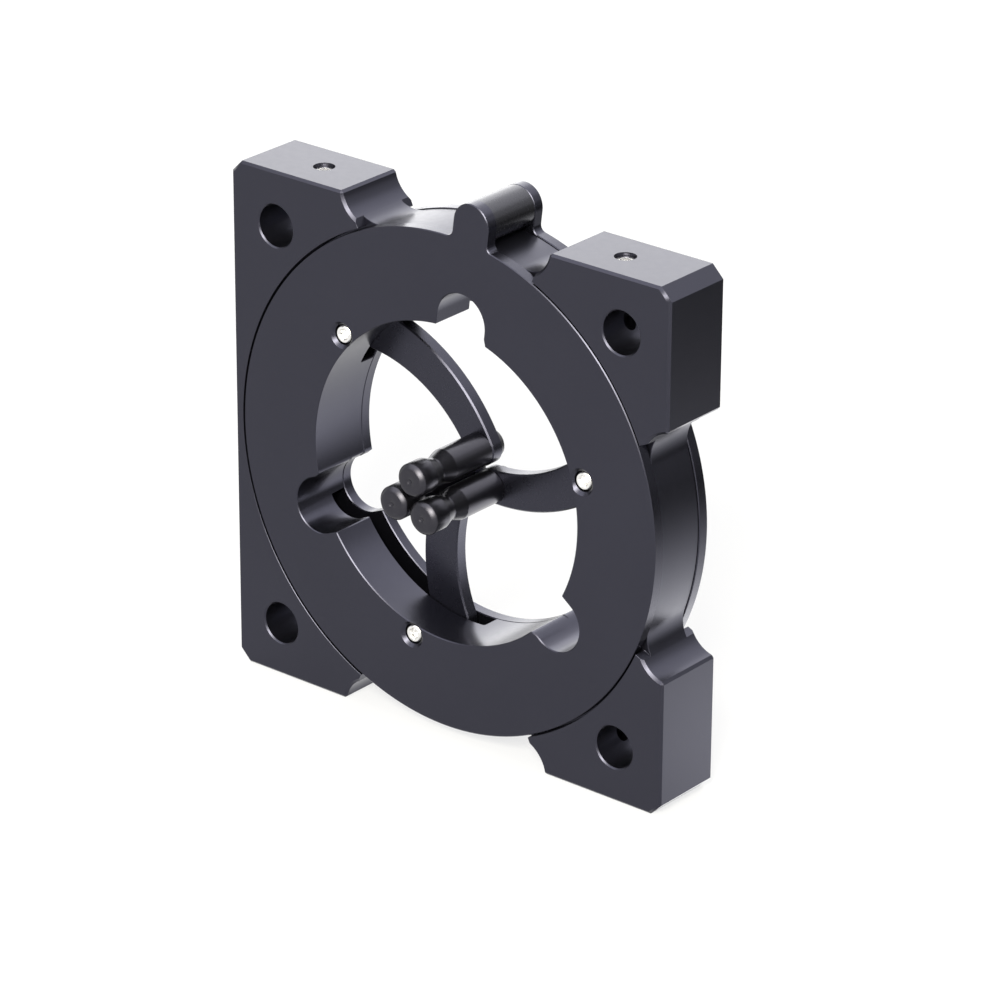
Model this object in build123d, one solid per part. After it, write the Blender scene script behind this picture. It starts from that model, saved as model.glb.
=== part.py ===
from build123d import *
from math import acos, asin, atan2, cos, degrees, hypot, radians, sin, sqrt
import os

# Self-centering lens mount for a four-rod optical cage. Lengths are in millimetres and
# angles in degrees.
# The plate stands upright with +Z up. The optical axis is the Y axis, and the origin is where
# that axis meets the plate's front face; +Y runs into the plate, away from the lens posts.
# Angles count from +X towards +Z, anticlockwise as the front shows them.
# A slotted ring turns in the plate. It carries three arms on pivot screws, and each arm's
# forked tail is held by a pin fixed in the plate. Turning the ring by its handle swings the
# three arms together, from posts closed round the axis to posts parked in the ring's notches.

# Lens opening, with the notches in which the open posts stand
bore_radius = 23.15
notch_angle = 83.1             # the first notch, which is in line with the handle
notch_half_width = 4.1
notch_depth = 5.5              # from the bore to the bottom of a notch

# Posts
post_radius = 2.42
post_reach = 7.5               # in front of the plate's front face
post_chamfer = 0.35
post_head_length = 4.9         # to the groove's bottom
post_head_taper = 1.7          # the groove's front flank
neck_radius = 1.8
neck_length = 0.3
shoulder_length = 1.9          # the groove's back flank
spigot_radius = 1.6
spigot_length = 1.6
post_screw_radius = 0.9
post_screw_length = 6.0
post_screw_head_radius = 2.0
post_screw_head_height = 1.0
post_screw_socket_radius = 0.75
post_screw_socket_depth = 0.6

# Arms and their pivots
arm_count = 3
pivot_inset = 1.75             # from the bore outwards to a pivot
pivot_angle = 136.8            # the first pivot
post_closed_radius_at = 3.08   # from the axis to a post, closed
post_closed_angle = 82.5       # the first post, closed
park_gap = 0.31                # between an open post and the bottom of its notch
arm_thickness = 2.1
arm_gap = 0.05                 # between an arm and what guides its faces
arm_arc_radius = 25.3          # the arm's curved centre line
arm_pivot_offset = 1.2         # from that centre line outwards to the pivot
arm_root_width = 6.4
arm_tip_radius = 2.5
path_clearance = 0.12          # round the sweep of a post and an arm's tip
bush_radius = 1.3
bush_running_gap = 0.04
bush_flange_radius = 1.7
bush_flange_thickness = 0.5
pivot_screw_radius = 0.8
pivot_head_radius = 1.28
pivot_head_height = 1.6
pivot_head_recess = 0.4
pivot_head_gap = 0.22
pivot_socket_radius = 0.7
pivot_socket_depth = 0.8
pivot_screw_end_gap = 0.35     # from the screw's end to the back face

# Ring
hub_wall = 0.6                 # outside the notches
hub_clearance = 0.05
rim_thickness = 1.75
rim_lip = 0.4                  # how far the rim stands out of the plate's round body
rim_gap = 0.4                  # round the rim, in the plate's recess
axial_gap = 0.1                # between the ring's faces and the plate's
pillar_start = 17.0            # from a pivot to the pillar that joins the two rings

# Fixed pins that drive the tails
pin_wall = 0.72                # left in the web between a pin and the hub
pin_radius = 0.75
pin_floor = 0.95               # left in the web in front of a pin
pin_end_gap = 0.1
fork_clearance = 0.12
fork_tine = 1.1
fork_overrun = 0.57            # of the slot past the pin, on the pivot's side
tail_gap = 0.9                 # from the ends of the tines to the cavity's wall
tail_room = 1.68               # behind the pins, for the tines

# Plate
plate_thickness = 11.5
corner_chamfer = 2.5
body_wall = 2.6                # from the tails' cavity to the round body between the ears
side_wall = 1.4                # from the ring's recess to the plate's sides
gap_half_width = 18.0          # from the middle of an open side to the ear's corner
gap_fillet = 4.9               # concave sweep from the ear down to the plate's round body
nose_angle = 24.3              # from the middle of an open side to the ear's blunt nose
ear_reach = 1.0                # how far a gap's cutter stands out of the plate

# Cage rods and their locking screws
rod_edge = 8.0                 # from a rod's axis to the plate's two nearest sides
rod_radius = 3.0
rod_clearance = 0.05
rod_screw_side = 0.9           # from a rod's flank to its screw's axis
rod_screw_radius = 1.5
rod_screw_length = 5.0
rod_screw_recess = 0.5
rod_screw_hole_run = 2.4       # past the rod's axis
thread_clearance = 0.03

# Handle
handle_gap = 0.25              # between the plate's round body and the bar
handle_bar_radius = 2.85
handle_tab_radius = 3.0
handle_tab_fillet = 1.0
handle_spigot_radius = 1.25
handle_spigot_length = 1.0
handle_screw_radius = 1.0
handle_screw_head_radius = 1.9
handle_screw_length = 7.0
handle_screw_recess = 0.1

# Screw that locks the ring, in the closed side of the plate
lock_screw_radius = 1.5
lock_screw_length = 5.5
lock_screw_recess = 0.8
lock_tip_radius = 1.1
lock_tip_gap = 0.2             # left between the soft tip and the ring's hub

# Set screws
set_socket_radius = 0.87
set_socket_depth = 1.2
set_screw_break = 0.15
cone_point_radius = 0.4

# Places from the axis outwards
notch_reach = bore_radius + notch_depth
pivot_radius_at = bore_radius + pivot_inset
hub_radius = notch_reach + hub_wall
pin_radius_at = hub_radius + hub_clearance + pin_wall + pin_radius
cavity_radius = pin_radius_at + pin_radius + tail_room
body_radius = cavity_radius + body_wall
rim_radius = body_radius + rim_lip
recess_radius = rim_radius + rim_gap
half_plate = recess_radius + side_wall
rod_at = half_plate - rod_edge
rod_screw_at = rod_at - rod_radius - rod_screw_side
handle_radius_at = body_radius + handle_gap + handle_bar_radius

# Depths, counted from the front face
recess_depth = rim_thickness + axial_gap
back_ring_front = plate_thickness - rim_thickness
arm_back = back_ring_front - bush_flange_thickness - arm_gap
arm_front = arm_back - arm_thickness
hub_back = arm_front - arm_gap
web_back = arm_front - axial_gap
web_middle = (recess_depth + web_back) / 2
pin_front = recess_depth + pin_floor

step_angle = 360 / arm_count
open_sides = (0, 90, 270)      # right, top and bottom; the left side is closed


def on_circle(radius, angle, centre=(0, 0)):
    """Point at a radius and angle round a centre, as the front shows it."""
    return (centre[0] + radius * cos(radians(angle)), centre[1] + radius * sin(radians(angle)))


def front_plane(depth):
    """Plane parallel to the front face, with X to the right and Z up."""
    return Plane(origin=(0, depth, 0), x_dir=(1, 0, 0), z_dir=(0, -1, 0))


def slab(profile, front, back):
    """A front-view profile made solid between two depths."""
    return extrude(front_plane(front) * profile, amount=back - front, dir=(0, 1, 0))


def turned(points):
    """A turned piece on the Y axis from its half section, as (radius, depth) points."""
    return revolve(make_face(Polyline(*points, close=True)), Axis.Y)


def at_angle(shape, angle):
    """A front-view profile turned anticlockwise about the optical axis."""
    return Rot(0, 0, angle) * shape


def turn_solid(solid, angle, centre=(0, 0)):
    """A solid turned anticlockwise, as the front shows it, about an axis parallel to Y."""
    there = Pos(centre[0], 0, centre[1])
    back = Pos(-centre[0], 0, -centre[1])
    return there * Rot(0, -angle, 0) * back * solid


def placed(solid, spot):
    """A solid drawn on the Y axis, moved to a spot of the front view."""
    return Pos(spot[0], 0, spot[1]) * solid


def stations():
    """Angle of each arm's station from the first."""
    return [index * step_angle for index in range(arm_count)]


def direction(start, end):
    """Angle of the line from one point of the front view to another."""
    return degrees(atan2(end[1] - start[1], end[0] - start[0]))


# The first arm, closed, and its post parked at the bottom of its notch, as the ring sees it
pivot_at = on_circle(pivot_radius_at, pivot_angle)
post_at = on_circle(post_closed_radius_at, post_closed_angle)
arm_length = hypot(post_at[0] - pivot_at[0], post_at[1] - pivot_at[1])
arm_direction = direction(pivot_at, post_at)
parked_radius_at = notch_reach - post_radius - park_gap
parked_turn = degrees(acos((pivot_radius_at ** 2 + parked_radius_at ** 2 - arm_length ** 2)
                           / (2 * pivot_radius_at * parked_radius_at)))
parked_at = on_circle(parked_radius_at, pivot_angle - parked_turn)
arm_swing = direction(pivot_at, parked_at) - arm_direction

# The fixed pin is in line with the pivot halfway, and the ring's travel gives the arm its swing
half_swing = radians(arm_swing / 2)
ring_travel = 2 * degrees(half_swing - asin(pivot_radius_at / pin_radius_at * sin(half_swing)))
pin_angle = pivot_angle - ring_travel / 2
pin_at = on_circle(pin_radius_at, pin_angle)
fork_direction = direction(pivot_at, pin_at) - arm_direction
fork_reach = cavity_radius - tail_gap - pivot_radius_at
fork_root = pin_radius_at - pivot_radius_at - fork_overrun


def arc_centre():
    """Centre of the arm's curved line, with the pivot at the origin and the post on +X."""
    to_pivot = arm_arc_radius + arm_pivot_offset
    along = (to_pivot ** 2 - arm_arc_radius ** 2 + arm_length ** 2) / (2 * arm_length)
    return (along, -sqrt(to_pivot ** 2 - along ** 2))


def gap_profile():
    """Air over an open side, drawn at the top, between two ears and the round body."""
    centre_x = gap_half_width - gap_fillet
    centre = (centre_x, sqrt((body_radius + gap_fillet) ** 2 - centre_x ** 2))
    lean = direction((0, 0), centre)
    tangent = on_circle(body_radius, lean)
    middle = on_circle(gap_fillet, (lean + 540) / 2, centre)
    corner = (gap_half_width, centre[1])
    above = half_plate + gap_fillet + ear_reach
    outline = [
        Line((gap_half_width, above), corner),
        ThreePointArc(corner, middle, tangent),
        ThreePointArc(tangent, (0, body_radius), (-tangent[0], tangent[1])),
        ThreePointArc((-tangent[0], tangent[1]), (-middle[0], middle[1]), (-corner[0], corner[1])),
        Line((-corner[0], corner[1]), (-gap_half_width, above)),
        Line((-gap_half_width, above), (gap_half_width, above)),
    ]
    return make_face(outline)


def nose_profile():
    """Triangle from the axis that ends the ears' thin beaks in a blunt nose, at the top."""
    reach = half_plate + ear_reach
    right = on_circle(reach, 90 - nose_angle)
    return make_face(Polyline((0, 0), right, (-right[0], right[1]), close=True))


def frame_plate():
    """The square plate: four ears, round body, web, recesses, rod holes and tapped holes."""
    outline = chamfer(Rectangle(2 * half_plate, 2 * half_plate).vertices(), corner_chamfer)
    for side in open_sides:
        outline -= at_angle(gap_profile(), side - 90)
    for x in (-rod_at, rod_at):
        for z in (-rod_at, rod_at):
            outline -= Pos(x, z) * Circle(rod_radius + rod_clearance)
    plate = slab(outline, 0, plate_thickness)
    recess = Circle(recess_radius)
    for side in open_sides:
        recess += at_angle(nose_profile(), side - 90)
    plate -= slab(recess, 0, recess_depth)
    plate -= slab(recess, plate_thickness - recess_depth, plate_thickness)
    plate -= slab(Circle(cavity_radius), web_back, plate_thickness)
    plate -= slab(Circle(hub_radius + hub_clearance), 0, web_back)
    for x in (-rod_screw_at, rod_screw_at):
        for up in (1, -1):
            plate -= screw_hole(x, up)
    for station in stations():
        plate -= placed(pin_hole(), on_circle(pin_radius_at, pin_angle + station))
    return plate - lock_hole()


def screw_hole(x, up):
    """Cutter for a rod's locking screw: from an ear's outer face along the rod hole's flank."""
    length = half_plate - rod_at + rod_screw_hole_run
    drilled = Cylinder(rod_screw_radius + thread_clearance, length)
    return Pos(x, plate_thickness / 2, up * (half_plate - length / 2)) * drilled


def pin_hole():
    """Blind hole in the web for a drive pin."""
    return slab(Circle(pin_radius), pin_front, web_back)


def lock_hole():
    """Cutter for the ring's locking screw: level, through the closed side to the hub."""
    length = half_plate - hub_radius
    drilled = Rot(0, 90, 0) * Cylinder(lock_screw_radius + thread_clearance, length)
    return Pos(-half_plate + length / 2, web_middle, 0) * drilled


def set_screw(radius, length, point_radius, point_length):
    """Socket set screw on the Y axis: socket at depth 0, point at its far end."""
    body = turned([(0, 0), (radius, 0), (radius, length - point_length),
                   (point_radius, length), (0, length)])
    return body - slab(RegularPolygon(set_socket_radius, 6), 0, set_socket_depth)


def rod_screw(x, up):
    """Cone-pointed screw that bears on a rod's flank."""
    cone = rod_screw_radius - cone_point_radius
    screw = set_screw(rod_screw_radius, rod_screw_length, cone_point_radius, cone)
    upright = Rot(-90 * up, 0, 0) * screw
    return Pos(x, plate_thickness / 2, up * (half_plate - rod_screw_recess)) * upright


def lock_screw():
    """Screw that presses the soft tip on the hub."""
    screw = set_screw(lock_screw_radius, lock_screw_length, lock_tip_radius, set_screw_break)
    return Pos(-half_plate + lock_screw_recess, web_middle, 0) * Rot(0, 0, -90) * screw


def lock_tip():
    """Soft plug between the locking screw and the hub."""
    start = -half_plate + lock_screw_recess + lock_screw_length
    length = -hub_radius - lock_tip_gap - start
    return Pos(start + length / 2, web_middle, 0) * Rot(0, 90, 0) * Cylinder(lock_tip_radius, length)


def drive_pin():
    """Dowel pressed into the web, standing out among the arms' tails."""
    return slab(Circle(pin_radius), pin_front, arm_back + pin_end_gap)


def tab_profile():
    """The rim's disc with the handle's tab on it."""
    stem_bottom = bore_radius + notch_half_width
    stem_height = handle_radius_at - stem_bottom
    tab = Pos(0, stem_bottom + stem_height / 2) * Rectangle(2 * handle_tab_radius, stem_height)
    tab += Pos(0, handle_radius_at) * Circle(handle_tab_radius)
    rim = Circle(rim_radius) + tab
    corner_height = sqrt(rim_radius ** 2 - handle_tab_radius ** 2)
    corners = [v for v in rim.vertices() if abs(v.Y - corner_height) < handle_tab_fillet / 10]
    return at_angle(fillet(corners, handle_tab_fillet), notch_angle - 90)


def notch_profile():
    """The bore with its round-ended notches, which all pass through both rings."""
    centre = notch_reach - notch_half_width
    notch = Pos(centre / 2, 0) * Rectangle(centre, 2 * notch_half_width)
    notch += Pos(centre, 0) * Circle(notch_half_width)
    opening = Circle(bore_radius)
    for station in stations():
        opening += at_angle(notch, notch_angle + station)
        opening += swept_path(post_radius, station) & at_angle(notch_mouth(), notch_angle + station)
    return opening


def swept_path(radius, station):
    """Track of a round thing at the post's place as its arm swings, with the path's clearance."""
    half_track = radius + path_clearance
    track = Circle(arm_length + half_track) - Circle(arm_length - half_track)
    return Pos(*on_circle(pivot_radius_at, pivot_angle + station)) * track


def notch_mouth():
    """Area round a notch's mouth, in which the posts' sweep may trim its corners."""
    across = 2 * (notch_half_width + post_radius)
    return Pos(bore_radius, 0) * Rectangle(2 * post_radius, across)


def pillar_profile():
    """Land that joins the hub to the back ring, from a pivot's slot to the next notch."""
    land = Circle(hub_radius) - Circle(bore_radius)
    start = pivot_angle + pillar_start
    end = notch_angle + step_angle
    reach = 2 * hub_radius
    middle = (start + end) / 2
    wedge = make_face(Polyline((0, 0), on_circle(reach, start), on_circle(reach, middle),
                               on_circle(reach, end), close=True))
    return (land & wedge) - swept_path(arm_tip_radius, step_angle)


def front_ring():
    """Front rim with its tab, the hub that turns in the web, and the three pillars."""
    ring = slab(tab_profile(), 0, rim_thickness)
    ring += slab(Circle(hub_radius), rim_thickness, hub_back)
    for station in stations():
        ring += slab(at_angle(pillar_profile(), station), hub_back, back_ring_front)
    ring -= slab(notch_profile(), 0, plate_thickness)
    for station in stations():
        ring -= placed(pivot_counterbore(), on_circle(pivot_radius_at, pivot_angle + station))
    socket = slab(Circle(handle_spigot_radius), rim_thickness - handle_spigot_length, rim_thickness)
    return ring - placed(socket, on_circle(handle_radius_at, notch_angle))


def pivot_counterbore():
    """Cutter for a pivot screw: sunk head, clear shank."""
    head_back = pivot_head_recess + pivot_head_height
    head = pivot_head_radius + pivot_head_gap
    shank = pivot_screw_radius + thread_clearance
    return turned([(0, 0), (head, 0), (head, head_back), (shank, head_back),
                   (shank, hub_back), (0, hub_back)])


def back_ring():
    """Flat ring behind the arms, with the back tab, tapped for the pivot screws."""
    ring = slab(tab_profile(), back_ring_front, plate_thickness)
    ring -= slab(notch_profile(), 0, plate_thickness)
    tapped = slab(Circle(pivot_screw_radius + thread_clearance), back_ring_front, plate_thickness)
    for station in stations():
        ring -= placed(tapped, on_circle(pivot_radius_at, pivot_angle + station))
    return ring - placed(handle_countersink(), on_circle(handle_radius_at, notch_angle))


def handle_countersink():
    """Cutter for the countersunk screw that holds the handle bar, with room over its head."""
    shank = handle_screw_radius + thread_clearance
    head = handle_screw_head_radius + thread_clearance
    seat = plate_thickness - handle_screw_recess
    cone = seat - (handle_screw_head_radius - handle_screw_radius)
    return turned([(0, back_ring_front), (shank, back_ring_front), (shank, cone), (head, seat),
                   (head, plate_thickness), (0, plate_thickness)])


def handle_bar():
    """Round bar between the two tabs: spigot in the front one, tapped from behind."""
    front = rim_thickness - handle_spigot_length
    bar = turned([(0, front), (handle_spigot_radius, front), (handle_spigot_radius, rim_thickness),
                  (handle_bar_radius, rim_thickness), (handle_bar_radius, back_ring_front),
                  (0, back_ring_front)])
    hole_front = plate_thickness - handle_screw_recess - handle_screw_length
    bar -= slab(Circle(handle_screw_radius + thread_clearance), hole_front, back_ring_front)
    return placed(bar, on_circle(handle_radius_at, notch_angle))


def handle_screw():
    """Countersunk socket screw through the back tab."""
    head = plate_thickness - handle_screw_recess
    cone = head - (handle_screw_head_radius - handle_screw_radius)
    end = head - handle_screw_length + post_screw_socket_depth
    screw = turned([(0, end), (handle_screw_radius, end), (handle_screw_radius, cone),
                    (handle_screw_head_radius, head), (0, head)])
    screw -= slab(RegularPolygon(post_screw_socket_radius, 6), head - post_screw_socket_depth, head)
    return placed(screw, on_circle(handle_radius_at, notch_angle))


def pivot_screw():
    """Socket cap screw: head sunk in the front ring, end tapped into the back ring."""
    head_front = pivot_head_recess
    head_back = head_front + pivot_head_height
    end = plate_thickness - pivot_screw_end_gap
    screw = turned([(0, head_front), (pivot_head_radius, head_front), (pivot_head_radius, head_back),
                    (pivot_screw_radius, head_back), (pivot_screw_radius, end), (0, end)])
    return screw - slab(RegularPolygon(pivot_socket_radius, 6), head_front, head_front + pivot_socket_depth)


def pivot_bush():
    """Flanged bush that the arm turns on, clamped between hub and back ring."""
    bore = pivot_screw_radius + thread_clearance
    flange_front = back_ring_front - bush_flange_thickness
    return turned([(bore, hub_back), (bush_radius, hub_back), (bush_radius, flange_front),
                   (bush_flange_radius, flange_front), (bush_flange_radius, back_ring_front),
                   (bore, back_ring_front)])


def arm_profile():
    """The arm's outline, with its pivot at the origin and its post on +X."""
    centre = arc_centre()
    tip_angle = degrees(atan2(-centre[1], arm_length - centre[0]))
    root_angle = degrees(atan2(-centre[1], -centre[0]))
    middle_angle = (tip_angle + root_angle) / 2
    tip_width = 2 * arm_tip_radius
    middle_width = (tip_width + arm_root_width) / 2

    def edge(side):
        widths = ((tip_width, tip_angle), (middle_width, middle_angle), (arm_root_width, root_angle))
        return [on_circle(arm_arc_radius + side * width / 2, angle, centre) for width, angle in widths]

    inner = edge(-1)
    outer = edge(1)
    band = make_face([ThreePointArc(*inner), Line(inner[2], outer[2]),
                      ThreePointArc(*outer), Line(outer[0], inner[0])])
    root = on_circle(arm_arc_radius, root_angle, centre)
    band += Pos(*root) * Circle(arm_root_width / 2)
    band += Pos(arm_length, 0) * Circle(arm_tip_radius)
    half_fork = pin_radius + fork_clearance + fork_tine
    tail = Pos(fork_reach / 2, 0) * Rectangle(fork_reach, 2 * half_fork)
    tail = fillet(tail.vertices().sort_by(Axis.X)[-2:], fork_tine / 2)
    band += Rot(0, 0, fork_direction) * tail
    half_slot = pin_radius + fork_clearance
    slot = Pos(fork_root, 0) * Circle(half_slot)
    slot += Pos((fork_root + fork_reach + half_slot) / 2, 0) * Rectangle(
        fork_reach + half_slot - fork_root, 2 * half_slot)
    band -= Rot(0, 0, fork_direction) * slot
    band -= Circle(bush_radius + bush_running_gap)
    return band - Pos(arm_length, 0) * Circle(spigot_radius)


def arm():
    """First arm, closed: curved blade with an eye at its pivot and a forked tail."""
    blade = slab(arm_profile(), arm_front, arm_back)
    return placed(turn_solid(blade, arm_direction), pivot_at)


def post():
    """Turned lens post: head, V-groove that grips the lens, shank and spigot."""
    front = -post_reach
    head_back = front + post_head_length
    neck_back = head_back + neck_length
    shoulder = neck_back + shoulder_length
    spigot_end = arm_front + spigot_length
    tapped_front = arm_back - post_screw_length
    tapped = post_screw_radius + thread_clearance
    return turned([(0, front), (post_radius - post_chamfer, front),
                   (post_radius, front + post_chamfer), (post_radius, head_back - post_head_taper),
                   (neck_radius, head_back), (neck_radius, neck_back), (post_radius, shoulder),
                   (post_radius, arm_front), (spigot_radius, arm_front), (spigot_radius, spigot_end),
                   (tapped, spigot_end), (tapped, tapped_front), (0, tapped_front)])


def post_screw():
    """Screw behind the arm that draws the post's spigot into it."""
    end = arm_back - post_screw_length + post_screw_head_height
    head_back = arm_back + post_screw_head_height
    screw = turned([(0, end), (post_screw_radius, end), (post_screw_radius, arm_back),
                    (post_screw_head_radius, arm_back), (post_screw_head_radius, head_back), (0, head_back)])
    socket_front = head_back - post_screw_socket_depth
    return screw - slab(RegularPolygon(post_screw_socket_radius, 6), socket_front, head_back)


def build_parts():
    """Every sub-part at its place with the posts closed, by name."""
    parts = {
        "frame_plate": frame_plate(),
        "front_ring": front_ring(),
        "back_ring": back_ring(),
        "handle_bar": handle_bar(),
        "handle_screw": handle_screw(),
        "ring_lock_screw": lock_screw(),
        "lock_screw_tip": lock_tip(),
    }
    for name, x, up in (("top_left", -1, 1), ("top_right", 1, 1), ("bottom_left", -1, -1),
                        ("bottom_right", 1, -1)):
        parts["rod_screw_" + name] = rod_screw(x * rod_screw_at, up)
    for index, station in enumerate(stations(), start=1):
        pivot_spot = on_circle(pivot_radius_at, pivot_angle + station)
        post_spot = on_circle(post_closed_radius_at, post_closed_angle + station)
        parts["arm_%d" % index] = turn_solid(arm(), station)
        parts["post_%d" % index] = placed(post(), post_spot)
        parts["post_screw_%d" % index] = placed(post_screw(), post_spot)
        parts["pivot_screw_%d" % index] = placed(pivot_screw(), pivot_spot)
        parts["pivot_bush_%d" % index] = placed(pivot_bush(), pivot_spot)
        parts["drive_pin_%d" % index] = placed(drive_pin(), on_circle(pin_radius_at, pin_angle + station))
    return parts


def main():
    """Write one file per sub-part."""
    os.makedirs("parts", exist_ok=True)
    for name, solid in build_parts().items():
        solid.label = name
        export_step(solid, "parts/%s.step" % name)
    print("arm length %.3f, swing %.3f for a ring travel of %.3f" % (arm_length, arm_swing, ring_travel))


main()
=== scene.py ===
import logging
from collections.abc import Callable
from dataclasses import dataclass, replace
from enum import Enum
from math import acos, asin, atan2, ceil, cos, degrees, exp, hypot, pi, radians, sin, sqrt

import bpy
from mathutils import Matrix, Vector


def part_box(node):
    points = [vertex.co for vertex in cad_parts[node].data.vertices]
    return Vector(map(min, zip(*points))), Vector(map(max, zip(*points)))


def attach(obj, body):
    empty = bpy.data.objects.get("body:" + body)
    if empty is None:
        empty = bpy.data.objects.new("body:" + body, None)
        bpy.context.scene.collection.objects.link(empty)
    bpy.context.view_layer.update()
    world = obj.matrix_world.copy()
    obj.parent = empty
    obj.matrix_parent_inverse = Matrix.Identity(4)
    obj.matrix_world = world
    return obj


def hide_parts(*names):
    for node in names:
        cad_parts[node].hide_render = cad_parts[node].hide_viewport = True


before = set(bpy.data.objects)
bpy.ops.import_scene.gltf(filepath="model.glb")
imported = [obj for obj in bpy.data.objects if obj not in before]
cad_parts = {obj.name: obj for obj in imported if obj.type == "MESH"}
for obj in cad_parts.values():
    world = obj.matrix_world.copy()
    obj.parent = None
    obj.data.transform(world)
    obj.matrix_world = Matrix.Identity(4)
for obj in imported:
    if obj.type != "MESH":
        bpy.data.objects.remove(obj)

# Looks of a self-centering lens mount. The optical axis is the Y axis, the origin is where it
# meets the plate's front face, and +Y runs into the plate. Angles are in degrees and count from
# +X towards +Z, anticlockwise as the front shows them. A spot is an (x, z) pair of that view.

MM = 0.001
WELD = 0.002 * MM              # points nearer than this are one
CHORD_ERROR = 0.004 * MM       # how far a facet may lie inside its arc
CUT_PAST = 1.0 * MM            # how far a cutter stands out of what it cuts
STATIONS = (0.0, 120.0, 240.0)
OPEN_SIDES = (0.0, 90.0, 270.0)
CORNERS = ("top_left", "top_right", "bottom_left", "bottom_right")
SHARP = 55.0                   # an edge that turns by more degrees is broken
ROUND = 32.0                   # an edge that turns by fewer degrees is shaded smooth
FLAT = 0.3                     # an edge that turns by fewer degrees is needless
FACE_WEIGHT = 60               # how strongly large faces keep the shading flat
WAVE_LENGTH = 0.314            # of a wave texture at a scale of 1, in metres

Spot = tuple[float, float]
Place = tuple[float, float, float]
Colour = tuple[float, float, float]
WHITE: Colour = (1.0, 1.0, 1.0)
log = logging.getLogger("lens_mount")


class View(Enum):
    """Plane that an outline is drawn in."""

    FRONT = "front"            # across is X, along is Z
    SECTION = "section"        # across is the radius from a turning axis, along is Y


class Fit(Enum):
    """What a second piece does to the first."""

    CUT = "DIFFERENCE"
    ADD = "UNION"


def on_circle(radius: float, angle: float, centre: Spot = (0.0, 0.0)) -> Spot:
    """Spot at a radius and angle round a centre."""
    return (centre[0] + radius * cos(radians(angle)), centre[1] + radius * sin(radians(angle)))


def direction(start: Spot, end: Spot) -> float:
    """Angle of the line from one spot to another."""
    return degrees(atan2(end[1] - start[1], end[0] - start[0]))


def middle_of(node: str) -> Spot:
    """Spot of a turned CAD node's own axis."""
    low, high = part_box(node)
    return ((low[0] + high[0]) / 2, (low[2] + high[2]) / 2)


def front_of(node: str) -> float:
    """Depth at which a CAD node starts."""
    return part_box(node)[0][1]


def back_of(node: str) -> float:
    """Depth at which a CAD node ends."""
    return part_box(node)[1][1]


def half_width_of(node: str) -> float:
    """Half of a CAD node's size along X."""
    low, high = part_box(node)
    return (high[0] - low[0]) / 2


def pick(*pieces: bpy.types.Object) -> None:
    """Selects these pieces alone, with the first one active.

    Args:
        pieces: The pieces.
    """
    bpy.ops.object.select_all(action="DESELECT")
    for piece in pieces:
        piece.select_set(True)
    bpy.context.view_layer.objects.active = pieces[0]


class Pen:
    """Draws one closed outline by extruding and spinning a vertex, then gives it its body."""

    def __init__(self, start: Spot, view: View = View.FRONT, depth: float = 0.0,
                 axis: Spot = (0.0, 0.0)) -> None:
        """Puts the pen down.

        Args:
            start: First point, as across and along.
            view: Plane of the outline.
            depth: Depth of a front outline.
            axis: Spot of the turning axis of a section.
        """
        self.view, self.depth, self.axis = view, depth, axis
        self.at = start
        bpy.ops.object.select_all(action="DESELECT")
        bpy.ops.mesh.primitive_plane_add(size=MM, location=self.place(start))
        bpy.ops.object.transform_apply(location=True, rotation=False, scale=False)
        bpy.ops.object.mode_set(mode="EDIT")
        bpy.ops.mesh.select_mode(type="VERT")
        bpy.ops.mesh.select_all(action="SELECT")
        bpy.ops.mesh.merge(type="CENTER")

    def place(self, point: Spot) -> Vector:
        """Point of the outline in the row frame.

        Args:
            point: Its across and along.

        Returns:
            Its place.
        """
        if self.view is View.FRONT:
            return Vector((point[0], self.depth, point[1]))
        return Vector((self.axis[0] + point[0], point[1], self.axis[1]))

    def line(self, *ends: Spot) -> "Pen":
        """Draws straight lines.

        Args:
            ends: Points to draw to, in order.

        Returns:
            The pen, for the next stroke.
        """
        for end in ends:
            step = self.place(end) - self.place(self.at)
            bpy.ops.mesh.extrude_vertices_move(TRANSFORM_OT_translate={"value": tuple(step)})
            self.at = end
        return self

    def arc(self, centre: Spot, turn: float) -> "Pen":
        """Draws an arc.

        Args:
            centre: Centre of the arc.
            turn: Degrees to turn, from across towards along.

        Returns:
            The pen, for the next stroke.
        """
        radius = hypot(self.at[0] - centre[0], self.at[1] - centre[1])
        normal = (0, 1, 0) if self.view is View.FRONT else (0, 0, -1)
        bpy.ops.mesh.spin(steps=arc_steps(radius, turn), angle=radians(turn),
                          center=tuple(self.place(centre)), axis=normal)
        self.at = on_circle(radius, direction(centre, self.at) + turn, centre)
        return self

    def solid(self, thickness: float) -> bpy.types.Object:
        """Closes a front outline and extrudes it backwards.

        Args:
            thickness: How far back it runs.

        Returns:
            The solid.
        """
        bpy.ops.mesh.select_all(action="SELECT")
        bpy.ops.mesh.remove_doubles(threshold=WELD)
        bpy.ops.mesh.edge_face_add()
        bpy.ops.mesh.extrude_region_move(TRANSFORM_OT_translate={"value": (0, thickness, 0)})
        return self.lift()

    def turned(self, steps: int = 96) -> bpy.types.Object:
        """Spins a section outline round its axis.

        Args:
            steps: Facets round the axis.

        Returns:
            The turned solid.
        """
        bpy.ops.mesh.select_all(action="SELECT")
        centre = (self.axis[0], 0, self.axis[1])
        bpy.ops.mesh.spin(steps=steps, angle=2 * pi, center=centre, axis=(0, 1, 0))
        return self.lift()

    def lift(self) -> bpy.types.Object:
        """Welds the mesh, turns its faces outwards and leaves edit mode.

        Returns:
            The piece.
        """
        bpy.ops.mesh.select_all(action="SELECT")
        bpy.ops.mesh.remove_doubles(threshold=WELD)
        bpy.ops.mesh.normals_make_consistent(inside=False)
        bpy.ops.object.mode_set(mode="OBJECT")
        return bpy.context.active_object


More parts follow.
